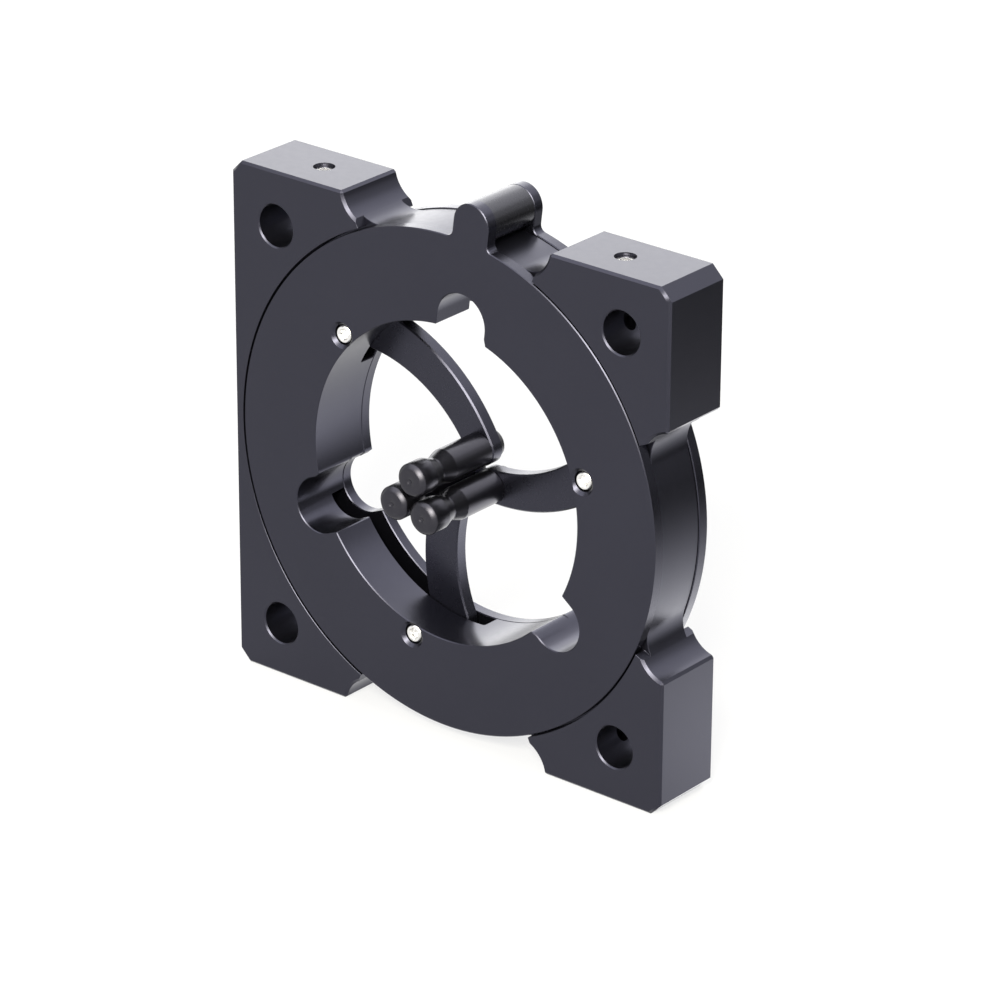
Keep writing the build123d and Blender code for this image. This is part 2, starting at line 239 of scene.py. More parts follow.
def arc_steps(radius: float, turn: float) -> int:
    """Facets of an arc that keep it within CHORD_ERROR of round.

    Args:
        radius: Radius of the arc.
        turn: Degrees that it turns.

    Returns:
        The number of facets, at least 2.
    """
    widest = 2 * acos(1 - min(CHORD_ERROR / radius, 0.5))
    return max(2, ceil(abs(radians(turn)) / widest))


def disc(radius: float, front: float, back: float, spot: Spot = (0.0, 0.0)) -> bpy.types.Object:
    """Round solid between two depths, mostly as a cutter."""
    start = (spot[0] + radius, spot[1])
    return Pen(start, depth=front).arc(spot, 360).solid(back - front)


def rod(radius: float, start: Vector, end: Vector) -> bpy.types.Object:
    """Round cutter from one point to another.

    Args:
        radius: Its radius.
        start: Middle of one end.
        end: Middle of the other.

    Returns:
        The cutter.
    """
    run = end - start
    bpy.ops.object.select_all(action="DESELECT")
    bpy.ops.mesh.primitive_cylinder_add(vertices=64, radius=radius, depth=run.length)
    piece = bpy.context.active_object
    turn = Vector((0, 0, 1)).rotation_difference(run).to_matrix().to_4x4()
    piece.data.transform(Matrix.Translation((start + end) / 2) @ turn)
    return piece


def hexagon(radius: float, front: float, back: float, spot: Spot) -> bpy.types.Object:
    """Six-sided cutter of a screw's socket.

    Args:
        radius: From its middle to a corner.
        front: Depth at which it starts.
        back: Depth at which it ends.
        spot: Spot of its middle.

    Returns:
        The cutter.
    """
    pen = Pen(on_circle(radius, 0, spot), depth=front)
    pen.line(*(on_circle(radius, 60 * corner, spot) for corner in range(1, 6)))
    return pen.solid(back - front)


def combine(piece: bpy.types.Object, tool: bpy.types.Object, fit: Fit) -> None:
    """Cuts a piece with another, or joins the other to it. The other is used up.

    Args:
        piece: What is changed.
        tool: What changes it.
        fit: Cut or add.
    """
    pick(piece)
    modifier = piece.modifiers.new("combine", "BOOLEAN")
    modifier.operation = fit.value
    modifier.object = tool
    modifier.solver = "EXACT"
    bpy.ops.object.modifier_apply(modifier=modifier.name)
    bpy.data.objects.remove(tool, do_unlink=True)


def flatten(piece: bpy.types.Object) -> None:
    """Welds a piece and takes the needless edges out of its flat faces.

    Args:
        piece: The piece.
    """
    pick(piece)
    bpy.ops.object.mode_set(mode="EDIT")
    bpy.ops.mesh.select_all(action="SELECT")
    bpy.ops.mesh.remove_doubles(threshold=WELD)
    bpy.ops.mesh.dissolve_limited(angle_limit=radians(FLAT))
    bpy.ops.mesh.normals_make_consistent(inside=False)
    bpy.ops.object.mode_set(mode="OBJECT")


def everywhere(middle: Vector) -> float:
    """Share of a full edge break at every edge."""
    return 1.0


def break_edges(piece: bpy.types.Object, leg: float, over: float = SHARP, segments: int = 1,
                share: Callable[[Vector], float] = everywhere) -> None:
    """Breaks a piece's sharp edges.

    Args:
        piece: The piece.
        leg: How far the break reaches from the edge into each face.
        over: Only edges that turn by more than this many degrees.
        segments: Facets across the break: 1 for a flat chamfer, more for a rounding.
        share: Share of the leg at an edge, from the edge's middle point.
    """
    pick(piece)
    bpy.ops.object.mode_set(mode="EDIT")
    bpy.ops.mesh.select_mode(type="EDGE")
    bpy.ops.mesh.select_all(action="DESELECT")
    bpy.ops.mesh.edges_select_sharp(sharpness=radians(over))
    bpy.ops.object.mode_set(mode="OBJECT")
    mesh = piece.data
    weights = mesh.attributes.new("bevel_weight_edge", "FLOAT", "EDGE")
    for edge in mesh.edges:
        if edge.select:
            first, last = (mesh.vertices[index].co for index in edge.vertices)
            weights.data[edge.index].value = share((first + last) / 2)
    modifier = piece.modifiers.new("break_edges", "BEVEL")
    modifier.offset_type = "OFFSET"
    modifier.width = leg
    modifier.segments = segments
    modifier.use_clamp_overlap = False
    modifier.limit_method = "WEIGHT"
    modifier.miter_outer = "MITER_ARC"
    bpy.ops.object.modifier_apply(modifier=modifier.name)
    mesh.attributes.remove(mesh.attributes["bevel_weight_edge"])


def smooth(piece: bpy.types.Object) -> None:
    """Shades a piece smooth, with flat faces kept flat up to their rounded edges.

    Args:
        piece: The piece.
    """
    pick(piece)
    bpy.ops.object.shade_smooth_by_angle(angle=radians(ROUND))
    modifier = piece.modifiers.new("flat_faces", "WEIGHTED_NORMAL")
    modifier.keep_sharp = True
    modifier.weight = FACE_WEIGHT
    bpy.ops.object.modifier_apply(modifier=modifier.name)


def turn_copy(piece: bpy.types.Object, turn: float, shift: Spot = (0.0, 0.0)) -> bpy.types.Object:
    """Copies a piece with its own mesh.

    Args:
        piece: What is copied.
        turn: Degrees that the copy is turned about the optical axis.
        shift: How far it is then moved in the front view.

    Returns:
        The copy.
    """
    pick(piece)
    bpy.ops.object.duplicate(linked=False)
    copy = bpy.context.active_object
    turned = Matrix.Rotation(-radians(turn), 4, "Y")
    copy.data.transform(Matrix.Translation((shift[0], 0, shift[1])) @ turned)
    return copy


class Nodes:
    """A node tree that starts empty, with short ways to add and link its nodes."""

    def __init__(self, owner: bpy.types.ID) -> None:
        """Clears the tree of a material or a world and gives it its output.

        Args:
            owner: The material or world.
        """
        owner.use_nodes = True
        self.tree = owner.node_tree
        self.tree.nodes.clear()
        kind = "World" if isinstance(owner, bpy.types.World) else "Material"
        self.out = self.add("Output" + kind)

    def add(self, kind: str, **sockets: object) -> bpy.types.Node:
        """Adds a node.

        Args:
            kind: Its type, without the ShaderNode prefix.
            sockets: Values of its inputs, with _ for a space.

        Returns:
            The node.
        """
        node = self.tree.nodes.new("ShaderNode" + kind)
        for name, value in sockets.items():
            node.inputs[name.replace("_", " ")].default_value = value
        return node

    def link(self, start: bpy.types.Node, out: object, end: bpy.types.Node, into: object) -> None:
        """Links an output to an input, each given by its name or number."""
        self.tree.links.new(start.outputs[out], end.inputs[into])

    def larger(self, first: bpy.types.NodeSocket,
               second: bpy.types.NodeSocket) -> bpy.types.NodeSocket:
        """Larger of two values.

        Args:
            first: One of them.
            second: The other.

        Returns:
            The value.
        """
        node = self.add("Math")
        node.operation = "MAXIMUM"
        self.tree.links.new(first, node.inputs[0])
        self.tree.links.new(second, node.inputs[1])
        return node.outputs[0]

    def times(self, source: bpy.types.NodeSocket, factor: float) -> bpy.types.NodeSocket:
        """A value times a constant.

        Args:
            source: What is scaled.
            factor: The constant.

        Returns:
            The value.
        """
        node = self.add("Math")
        node.operation = "MULTIPLY"
        node.inputs[1].default_value = factor
        self.tree.links.new(source, node.inputs[0])
        return node.outputs[0]

    def seen_directly(self) -> bpy.types.NodeSocket:
        """Value that is 1 for camera, glossy and transmission rays, and 0 for others.

        Returns:
            The value.
        """
        path = self.add("LightPath").outputs
        return self.larger(self.larger(path["Is Camera Ray"], path["Is Glossy Ray"]),
                           path["Is Transmission Ray"])

    def blend(self, share: bpy.types.NodeSocket, first: bpy.types.Node,
              second: bpy.types.Node) -> None:
        """Puts two shaders on the surface.

        Args:
            share: Share of the second one.
            first: Shader at a share of 0.
            second: Shader at a share of 1.
        """
        mix = self.add("MixShader")
        self.tree.links.new(share, mix.inputs[0])
        self.link(first, 0, mix, 1)
        self.link(second, 0, mix, 2)
        self.link(mix, 0, self.out, "Surface")


class Skin(Nodes):
    """Material of a piece, which reads the piece's own coordinates."""

    def __init__(self, name: str) -> None:
        """Starts a material of that name with a fresh surface shader.

        Args:
            name: Name of the material.
        """
        self.material = bpy.data.materials.new(name)
        super().__init__(self.material)
        self.shader = self.add("BsdfPrincipled")
        self.link(self.shader, "BSDF", self.out, "Surface")
        self.place = self.add("TexCoord")

    def noise(self, scale: float, detail: float = 2.0, rough: float = 0.5) -> bpy.types.Node:
        """Noise on the piece's own coordinates, with that many grains a metre.

        Args:
            scale: Grains a metre.
            detail: Octaves of finer grain.
            rough: Strength of each octave against the last.

        Returns:
            The noise.
        """
        node = self.add("TexNoise", Scale=scale, Detail=detail, Roughness=rough)
        self.link(self.place, "Object", node, "Vector")
        return node

    def span(self, noise: bpy.types.Node, low: float, high: float) -> bpy.types.Node:
        """Maps a noise's usual 0.3 to 0.7 onto a span of values.

        Args:
            noise: The noise.
            low: Value at its low end.
            high: Value at its high end.

        Returns:
            The mapped values.
        """
        node = self.add("MapRange", From_Min=0.3, From_Max=0.7, To_Min=low, To_Max=high)
        self.link(noise, "Fac", node, "Value")
        return node

    def satin(self, noise: bpy.types.Node, low: float, high: float) -> None:
        """Lets the roughness wander between two values."""
        self.link(self.span(noise, low, high), "Result", self.shader, "Roughness")

    def bump(self, source: bpy.types.Node, height: float) -> None:
        """Relief of a real height, in metres, on the surface.

        Args:
            source: What the relief follows.
            height: Its height.
        """
        node = self.add("Bump", Strength=1.0, Distance=height)
        self.link(source, "Fac", node, "Height")
        self.link(node, "Normal", self.shader, "Normal")


@dataclass(frozen=True)
class SatinMetal:
    """A metal skin with a fine blasted grain and slight clouding, such as dyed anodising."""

    name: str
    colour: Colour = (0.040, 0.040, 0.0545)
    deep: Colour = (0.038, 0.038, 0.052)
    roughness: float = 0.3
    spread: float = 0.02
    metallic: float = 0.92
    grain: float = 5200.0
    relief: float = 0.0006 * MM
    cloud_grain: float = 55.0
    satin_grain: float = 900.0
    ior: float = 1.45

    def make(self) -> bpy.types.Material:
        """Builds the material.

        Returns:
            The material.
        """
        skin = Skin(self.name)
        mix = skin.add("Mix")
        mix.data_type = "RGBA"
        mix.inputs[6].default_value = (*self.deep, 1.0)
        mix.inputs[7].default_value = (*self.colour, 1.0)
        skin.link(skin.span(skin.noise(self.cloud_grain, 3.0), 0.0, 1.0), "Result", mix, 0)
        skin.link(mix, 2, skin.shader, "Base Color")
        satin = skin.noise(self.satin_grain, 4.0, 0.6)
        skin.satin(satin, self.roughness - self.spread, self.roughness + self.spread)
        skin.bump(skin.noise(self.grain, 2.0, 0.6), self.relief)
        skin.shader.inputs["Metallic"].default_value = self.metallic
        skin.shader.inputs["IOR"].default_value = self.ior
        return skin.material


@dataclass(frozen=True)
class TurnedMetal:
    """Metal with the fine rings that a lathe leaves round its own axis."""

    name: str
    colour: Colour
    roughness: float
    metallic: float
    spot: Spot = (0.0, 0.0)
    spread: float = 0.05
    satin_grain: float = 1500.0
    pitch: float = 0.1 * MM
    relief: float = 0.0001 * MM

    def make(self) -> bpy.types.Material:
        """Builds the material.

        Returns:
            The material.
        """
        skin = Skin(self.name)
        skin.shader.inputs["Base Color"].default_value = (*self.colour, 1.0)
        skin.shader.inputs["Metallic"].default_value = self.metallic
        shift = skin.add("Mapping", Location=(-self.spot[0], 0.0, -self.spot[1]))
        skin.link(skin.place, "Object", shift, "Vector")
        rings = skin.add("TexWave", Scale=WAVE_LENGTH / self.pitch, Distortion=0.0)
        rings.wave_type = "RINGS"
        rings.rings_direction = "Y"
        skin.link(shift, "Vector", rings, "Vector")
        satin = skin.noise(self.satin_grain, 3.0, 0.6)
        skin.satin(satin, self.roughness * (1 - self.spread), self.roughness * (1 + self.spread))
        skin.bump(rings, self.relief)
        return skin.material

    def turned_at(self, name: str, spot: Spot) -> bpy.types.Material:
        """Builds the same finish under another name, turned round another spot."""
        return replace(self, name=name, spot=spot).make()


@dataclass(frozen=True)
class SoftPolymer:
    """Pale nylon of the locking screw's tip."""

    name: str = "soft_polymer"
    colour: Colour = (0.62, 0.6, 0.52)
    glow_through: float = 0.1
    roughness: tuple[float, float] = (0.42, 0.55)
    satin_grain: float = 1200.0

    def make(self) -> bpy.types.Material:
        """Builds the material.

        Returns:
            The material.
        """
        skin = Skin(self.name)
        skin.shader.inputs["Base Color"].default_value = (*self.colour, 1.0)
        skin.shader.inputs["Subsurface Weight"].default_value = self.glow_through
        skin.satin(skin.noise(self.satin_grain), *self.roughness)
        return skin.material


BAR_METAL: Colour = (0.052, 0.052, 0.06)
STAINLESS: Colour = (0.80, 0.79, 0.78)
WORN_STAINLESS: Colour = (0.74, 0.73, 0.72)
PLATE_SKIN = SatinMetal("plate_skin")
RING_SKIN = SatinMetal("ring_skin", roughness=0.25)
ARM_SKIN = SatinMetal("arm_skin", roughness=0.28, grain=6400.0)
HANDLE_SKIN = SatinMetal("handle_skin", BAR_METAL, BAR_METAL, 0.27)
GRUB_STEEL = SatinMetal("grub_steel", STAINLESS, WORN_STAINLESS, 0.22, 0.03, 1.0, 3000.0)
POST_METAL = TurnedMetal("post_metal", (0.043, 0.042, 0.051), 0.3, 0.95)
BLACK_STEEL = TurnedMetal("black_steel", (0.05, 0.05, 0.055), 0.3, 0.6)
PIVOT_STEEL = TurnedMetal("pivot_steel", STAINLESS, 0.24, 1.0)
DOWEL_STEEL = TurnedMetal("dowel_steel", STAINLESS, 0.22, 1.0)
BUSH_BRONZE = TurnedMetal("bush_bronze", (0.55, 0.32, 0.12), 0.32, 1.0)


def finish_screw(screw: bpy.types.Object, socket: bpy.types.Object, edge: float, over: float,
                 segments: int = 1) -> bpy.types.Object:
    """Cuts a screw's socket, breaks its edges and shades it.

    Args:
        screw: The turned screw.
        socket: Cutter of its socket, which is used up.
        edge: How far its edges are broken.
        over: Only edges that turn by more than this many degrees.
        segments: Facets across the break.

    Returns:
        The screw.
    """
    combine(screw, socket, Fit.CUT)
    flatten(screw)
    break_edges(screw, edge, over, segments)
    smooth(screw)
    return screw


def dress(piece: bpy.types.Object, name: str, finish: bpy.types.Material, body: str, slot: str,
          *nodes: str) -> None:
    """Names a finished piece, gives it its finish and ties it to the frame.

    Args:
        piece: The piece.
        name: Its name.
        finish: Its material.
        body: Body that it rides on.
        slot: Material slot of the record; not used.
        nodes: CAD nodes that it stands for.
    """
    piece.name = name
    piece.data.name = name
    piece.data.materials.clear()
    piece.data.materials.append(finish)
    if nodes:
        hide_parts(*nodes)
    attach(piece, body)
    log.info("%s: %d faces on %s", name, len(piece.data.polygons), body)


@dataclass
class Plate:
    """The square plate: four ears round a turned body, recessed for the ring on both faces."""

    corner_chamfer: float = 2.5 * MM
    edge: float = 0.35 * MM
    gap_half_width: float = 18.0 * MM
    gap_fillet: float = 4.9 * MM
    body_lip: float = 0.15 * MM
    rim_gap: float = 0.4 * MM
    nose_angle: float = 24.3
    rim_play: float = 0.1 * MM
    cavity_radius: float = 33.2 * MM
    cavity_front: float = 7.0 * MM
    hub_radius: float = 29.3 * MM
    rod_radius: float = 3.05 * MM
    rod_mouth: float = 0.2 * MM
    rod_edge: float = 8.0 * MM
    screw_radius: float = 1.53 * MM
    screw_run: float = 2.4 * MM
    lock_depth: float = 4.425 * MM
    pin_radius: float = 0.75 * MM
    small_edge: float = 0.06 * MM

    def __post_init__(self) -> None:
        """Reads the plate's main sizes from the frame."""
        self.half = half_width_of("frame_plate")
        self.back = back_of("frame_plate")
        self.rim_radius = half_width_of("front_ring")
        self.rim_thickness = self.back - front_of("back_ring")
        self.body_radius = self.rim_radius - self.body_lip
        self.recess_radius = self.rim_radius + self.rim_gap
        self.recess_depth = self.rim_thickness + self.rim_play

    def build(self) -> None:
        """Models the plate and ties it to the frame."""
        plate = self.blank()
        for side in OPEN_SIDES:
            combine(plate, self.gap(side - 90), Fit.CUT)
        flatten(plate)
        break_edges(plate, self.edge)
        combine(plate, self.recess(-CUT_PAST, self.recess_depth), Fit.CUT)
        combine(plate, self.recess(self.back - self.recess_depth, self.back + CUT_PAST), Fit.CUT)
        combine(plate, self.middle(), Fit.CUT)
        flatten(plate)
        break_edges(plate, self.small_edge)
        for spot in self.rod_spots():
            combine(plate, self.rod_hole(spot), Fit.CUT)
        self.screw_holes(plate)
        smooth(plate)
        dress(plate, "plate_body", PLATE_SKIN.make(), "frame", "plate", "frame_plate")

    def blank(self) -> bpy.types.Object:
        """The square blank with its four upright corners chamfered.

        Returns:
            The blank.
        """
        bpy.ops.object.select_all(action="DESELECT")
        bpy.ops.mesh.primitive_cube_add(size=1, location=(0, self.back / 2, 0))
        bpy.ops.transform.resize(value=(2 * self.half, self.back, 2 * self.half))
        bpy.ops.object.transform_apply(location=True, rotation=False, scale=True)
        bpy.ops.object.mode_set(mode="EDIT")
        bpy.ops.mesh.select_mode(type="EDGE")
        bpy.ops.mesh.select_all(action="DESELECT")
        bpy.ops.object.mode_set(mode="OBJECT")
        plate = bpy.context.active_object
        for edge in plate.data.edges:
            first, last = (plate.data.vertices[index].co for index in edge.vertices)
            edge.select = abs(first.y - last.y) > self.back / 2
        bpy.ops.object.mode_set(mode="EDIT")
        bpy.ops.mesh.bevel(offset=self.corner_chamfer, offset_type="WIDTH", segments=1)
        bpy.ops.object.mode_set(mode="OBJECT")
        return plate

    def gap(self, turn: float) -> bpy.types.Object:
        """Cutter for an open side, drawn at the top and turned.

        Args:
            turn: Degrees from the top.

        Returns:
            The cutter.
        """
        across = self.gap_half_width - self.gap_fillet
        centre = (across, sqrt((self.body_radius + self.gap_fillet) ** 2 - across ** 2))
        mirrored = (-across, centre[1])
        lean = direction((0, 0), centre)
        above = self.half + self.gap_fillet + CUT_PAST
        pen = Pen((self.gap_half_width, above), depth=-CUT_PAST)
        pen.line((self.gap_half_width, centre[1])).arc(centre, lean - 180)
        pen.arc((0, 0), 2 * (90 - lean)).arc(mirrored, lean - 180)
        pen.line((-self.gap_half_width, above))
        cutter = pen.solid(self.back + 2 * CUT_PAST)
        cutter.data.transform(Matrix.Rotation(-radians(turn), 4, "Y"))
        return cutter

    def recess(self, front: float, back: float) -> bpy.types.Object:
        """Cutter for a ring's recess, with the blunt noses of the ears.

        Args:
            front: Depth at which it starts.
            back: Depth at which it ends.

        Returns:
            The cutter.
        """
        reach = self.half + CUT_PAST
        chord = reach * cos(radians(self.nose_angle))
        inner = degrees(acos(chord / self.recess_radius))
        first = OPEN_SIDES[0] - self.nose_angle
        pen = Pen(on_circle(self.recess_radius, first), depth=front)
        angle = first
        for side in OPEN_SIDES:
            pen.arc((0, 0), side - self.nose_angle - angle)
            pen.line(on_circle(reach, side - self.nose_angle))
            pen.line(on_circle(self.recess_radius, side - inner))
            pen.arc((0, 0), 2 * inner)
            pen.line(on_circle(reach, side + self.nose_angle))
            pen.line(on_circle(self.recess_radius, side + self.nose_angle))
            angle = side + self.nose_angle
        pen.arc((0, 0), first + 360 - angle)
        return pen.solid(back - front)

    def middle(self) -> bpy.types.Object:
        """Cutter for the hub's bore and the cavity behind the web.

        Returns:
            The cutter.
        """
        end = self.back + CUT_PAST
        pen = Pen((0, -CUT_PAST), View.SECTION)
        pen.line((self.hub_radius, -CUT_PAST), (self.hub_radius, self.cavity_front))
        pen.line((self.cavity_radius, self.cavity_front), (self.cavity_radius, end), (0, end))
        return pen.turned(arc_steps(self.cavity_radius, 360))

    def rod_spots(self) -> list[Spot]:
        """Spots of the four rods."""
        at = self.half - self.rod_edge
        return [(x, z) for x in (-at, at) for z in (-at, at)]

    def rod_hole(self, spot: Spot) -> bpy.types.Object:
        """Cutter for a rod's bore, with a broken mouth on both faces.

        Args:
            spot: Spot of the rod.

        Returns:
            The cutter.
        """
        wide = self.rod_radius + self.rod_mouth
        pen = Pen((0, -CUT_PAST), View.SECTION, axis=spot)
        pen.line((wide, -CUT_PAST), (wide, 0), (self.rod_radius, self.rod_mouth))
        pen.line((self.rod_radius, self.back - self.rod_mouth), (wide, self.back))
        pen.line((wide, self.back + CUT_PAST), (0, self.back + CUT_PAST))
        return pen.turned(steps=80)

    def screw_holes(self, plate: bpy.types.Object) -> None:
        """Drills the plate for the set screws and the drive pins.

        Args:
            plate: The plate.
        """
        for corner in CORNERS:
            low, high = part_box("rod_screw_" + corner)
            across = (low[0] + high[0]) / 2
            up = 1 if high[2] > 0 else -1
            start = Vector((across, self.back / 2, up * (self.half + CUT_PAST)))
            end = Vector((across, self.back / 2, up * (self.half - self.rod_edge - self.screw_run)))
            combine(plate, rod(self.screw_radius, start, end), Fit.CUT)
        start = Vector((-self.half - CUT_PAST, self.lock_depth, 0))
        end = Vector((-self.hub_radius + CUT_PAST, self.lock_depth, 0))
        combine(plate, rod(self.screw_radius, start, end), Fit.CUT)
        for number in range(1, 4):
            node = "drive_pin_%d" % number
            hole = disc(self.pin_radius, front_of(node), self.cavity_front + CUT_PAST, middle_of(node))
            combine(plate, hole, Fit.CUT)


@dataclass
class Rings:
    """The two slotted rings that turn together, with the handle's tabs."""

    tab_radius: float = 3.0 * MM
    tab_fillet: float = 1.0 * MM
    bore_radius: float = 23.15 * MM
    hub_radius: float = 29.25 * MM
    hub_back: float = 7.05 * MM
    notch_angle: float = 83.1
    notch_half_width: float = 4.1 * MM
    notch_reach: float = 28.65 * MM
    pillar_start: float = 17.0
    pivot_angle: float = 136.8
    path_clearance: float = 0.12 * MM
    arm_tip_radius: float = 2.5 * MM
    park_gap: float = 0.31 * MM
    head_radius: float = 1.5 * MM
    head_depth: float = 2.0 * MM
    head_mouth: float = 0.45 * MM
    shank_radius: float = 0.83 * MM
    countersink_radius: float = 1.93 * MM
    handle_screw_radius: float = 1.03 * MM
    spigot_radius: float = 1.25 * MM
    spigot_depth: float = 0.75 * MM
    edge: float = 0.12 * MM
    rim_fit: float = 0.12 * MM

    def __post_init__(self) -> None:
        """Reads the rings' main sizes from the frame."""
        self.back = back_of("back_ring")
        self.back_front = front_of("back_ring")
        self.rim_radius = half_width_of("front_ring")
        self.rim_thickness = self.back - self.back_front
        self.handle_at = middle_of("handle_bar")
        self.handle_radius_at = hypot(*self.handle_at)
        self.pivots = [middle_of("pivot_screw_%d" % number) for number in range(1, 4)]
        self.posts = [middle_of("post_%d" % number) for number in range(1, 4)]
        self.post_radius = half_width_of("post_1")
        pivot, closed = self.pivots[0], self.posts[0]
        self.arm_length = hypot(pivot[0] - closed[0], pivot[1] - closed[1])
        far, near = hypot(*pivot), self.notch_reach - self.post_radius - self.park_gap
        turn = degrees(acos((far ** 2 + near ** 2 - self.arm_length ** 2) / (2 * far * near)))
        parked = on_circle(near, direction((0, 0), pivot) - turn)
        self.swing = direction(pivot, parked) - direction(pivot, closed)

    def broken(self, middle: Vector) -> float:
        """Share of the edge break: none where the bar meets the tabs, full elsewhere.

        Args:
            middle: Middle point of an edge.

        Returns:
            The share, 0 or 1.
        """
        if hypot(middle.x, middle.z) < self.rim_radius + 2 * self.rim_fit:
            return 1.0
        return 0.0 if self.rim_thickness / 2 < middle.y < self.back - self.rim_thickness else 1.0

    def rim(self, front: float, back: float, fit: float = 0.0) -> bpy.types.Object:
        """A rim's disc with the handle's tab, blended into the rim by two fillets.

        Args:
            front: Depth of its front face.
            back: Depth of its back face.
            fit: How far the rim fills the gap round it.

        Returns:
            The solid, without its opening.
        """
        side = self.tab_radius + self.tab_fillet
        rim_radius = self.rim_radius + fit
        reach = rim_radius + self.tab_fillet
        blend = degrees(asin(side / reach))
        along = reach * cos(radians(blend))
        turn = self.notch_angle
        out = (cos(radians(turn)), sin(radians(turn)))

        def at(u: float, v: float) -> Spot:
            """Spot at u along the tab and v to its left."""
            return (u * out[0] - v * out[1], u * out[1] + v * out[0])

        pen = Pen(on_circle(rim_radius, turn + blend), depth=front)
        pen.arc((0, 0), 360 - 2 * blend)
        pen.arc(at(along, -side), -(90 - blend))
        pen.line(at(self.handle_radius_at, -self.tab_radius))
        pen.arc(at(self.handle_radius_at, 0), 180)
        pen.line(at(along, self.tab_radius))
        pen.arc(at(along, side), -(90 - blend))
        return pen.solid(back - front)

    def opening(self) -> bpy.types.Object:
        """Cutter for the bore with its three round-ended notches.

        Returns:
            The cutter.
        """
        mouth = degrees(asin(self.notch_half_width / self.bore_radius))
        end = self.notch_reach - self.notch_half_width
        pen = Pen(on_circle(self.bore_radius, self.notch_angle - mouth), depth=-CUT_PAST)
        for station in STATIONS:
            angle = self.notch_angle + station
            corner = on_circle(self.notch_half_width, angle - 90)
            out = on_circle(end, angle)
            pen.line((out[0] + corner[0], out[1] + corner[1]))
            pen.arc(out, 180)
            pen.line(on_circle(self.bore_radius, angle + mouth))
            pen.arc((0, 0), 120 - 2 * mouth)
        return pen.solid(self.back + 2 * CUT_PAST)

    def sweep(self, station: int, radius: float, front: float, back: float) -> bpy.types.Object:
        """Cutter along the track of an arm's end, from the bore into the notch.

        Args:
            station: Number of the arm's station, from 0.
            radius: Half width of the track.
            front: Depth at which it starts.
            back: Depth at which it ends.

        Returns:
            The cutter.
        """
        pivot = self.pivots[station]
        closed = direction(pivot, self.posts[station])
        parked = closed + self.swing
        half = radius + self.path_clearance
        start = on_circle(self.arm_length + half, closed, pivot)
        pen = Pen(start, depth=front)
        pen.arc(pivot, parked - closed)
        pen.arc(on_circle(self.arm_length, parked, pivot), 180)
        pen.arc(pivot, closed - parked)
        pen.arc(on_circle(self.arm_length, closed, pivot), 180)
        return pen.solid(back - front)

    def pillar(self, station: float) -> bpy.types.Object:
        """A land between the hub and the back ring, with its front sunk in the hub.

        Args:
            station: Angle of its station.

        Returns:
            The land.
        """
        start = self.pivot_angle + self.pillar_start + station
        turn = self.notch_angle + 120 + station - start
        front = self.hub_back - CUT_PAST
        inner = self.bore_radius - CUT_PAST
        pen = Pen(on_circle(self.hub_radius, start), depth=front)
        pen.arc((0, 0), turn)
        pen.line(on_circle(inner, start + turn))
        pen.arc((0, 0), -turn)
        return pen.solid(self.back_front - front)

    def counterbore(self, spot: Spot) -> bpy.types.Object:
        """Cutter for a pivot screw in the front ring.

        Args:
            spot: Spot of the pivot.

        Returns:
            The cutter.
        """
        pen = Pen((0, -CUT_PAST), View.SECTION, axis=spot)
        wide = self.head_radius + self.head_mouth + CUT_PAST
        end = self.hub_back + CUT_PAST
        pen.line((wide, -CUT_PAST), (self.head_radius, self.head_mouth))
        pen.line((self.head_radius, self.head_depth), (self.shank_radius, self.head_depth))
        pen.line((self.shank_radius, end), (0, end))
        return pen.turned(steps=64)

    def build(self) -> None:
        """Models both rings and ties them to the frame."""
        self.front_ring()
        self.back_ring()

    def front_ring(self) -> None:
        """The front rim with the hub, the pillars and the pivots' counterbores."""
        end = self.hub_back + CUT_PAST
        ring = self.rim(0, self.rim_thickness, self.rim_fit)
        combine(ring, disc(self.hub_radius, self.rim_thickness / 2, self.hub_back), Fit.ADD)
        for station in STATIONS:
            combine(ring, self.pillar(station), Fit.ADD)
        combine(ring, self.opening(), Fit.CUT)
        for station in range(3):
            post_track = self.sweep(station, self.post_radius, -CUT_PAST, end)
            combine(ring, post_track, Fit.CUT)
            tip_track = self.sweep(station, self.arm_tip_radius, self.hub_back,
                                   self.back_front + CUT_PAST)
            combine(ring, tip_track, Fit.CUT)
        combine(ring, disc(self.spigot_radius, self.spigot_depth, self.rim_thickness + CUT_PAST,
                           self.handle_at), Fit.CUT)
        flatten(ring)
        break_edges(ring, self.edge, share=self.broken)
        for spot in self.pivots:
            combine(ring, self.counterbore(spot), Fit.CUT)
        smooth(ring)
        dress(ring, "ring_front_body", RING_SKIN.make(), "ring", "ring_front", "front_ring")

    def back_ring(self) -> None:
        """The back rim, with its holes for the pivots and the handle's screw."""
        front, end = self.back_front - CUT_PAST, self.back + CUT_PAST
        ring = self.rim(self.back_front, self.back)
        combine(ring, self.opening(), Fit.CUT)
        for station in range(3):
            combine(ring, self.sweep(station, self.post_radius, front, end), Fit.CUT)
            combine(ring, disc(self.shank_radius, front, end, self.pivots[station]), Fit.CUT)
        combine(ring, self.countersink(), Fit.CUT)
        flatten(ring)
        break_edges(ring, self.edge, share=self.broken)
        smooth(ring)
        dress(ring, "ring_back_body", RING_SKIN.make(), "ring", "ring_back", "back_ring")

    def countersink(self) -> bpy.types.Object:
        """Cutter for the handle's screw in the back tab.

        Returns:
            The cutter.
        """
        seat = back_of("handle_screw")
        cone = seat - (self.countersink_radius - self.handle_screw_radius)
        front = self.back_front - CUT_PAST
        pen = Pen((0, front), View.SECTION, axis=self.handle_at)
        pen.line((self.handle_screw_radius, front), (self.handle_screw_radius, cone))
        pen.line((self.countersink_radius, seat), (self.countersink_radius, self.back + CUT_PAST))
        pen.line((0, self.back + CUT_PAST))
        return pen.turned(steps=64)


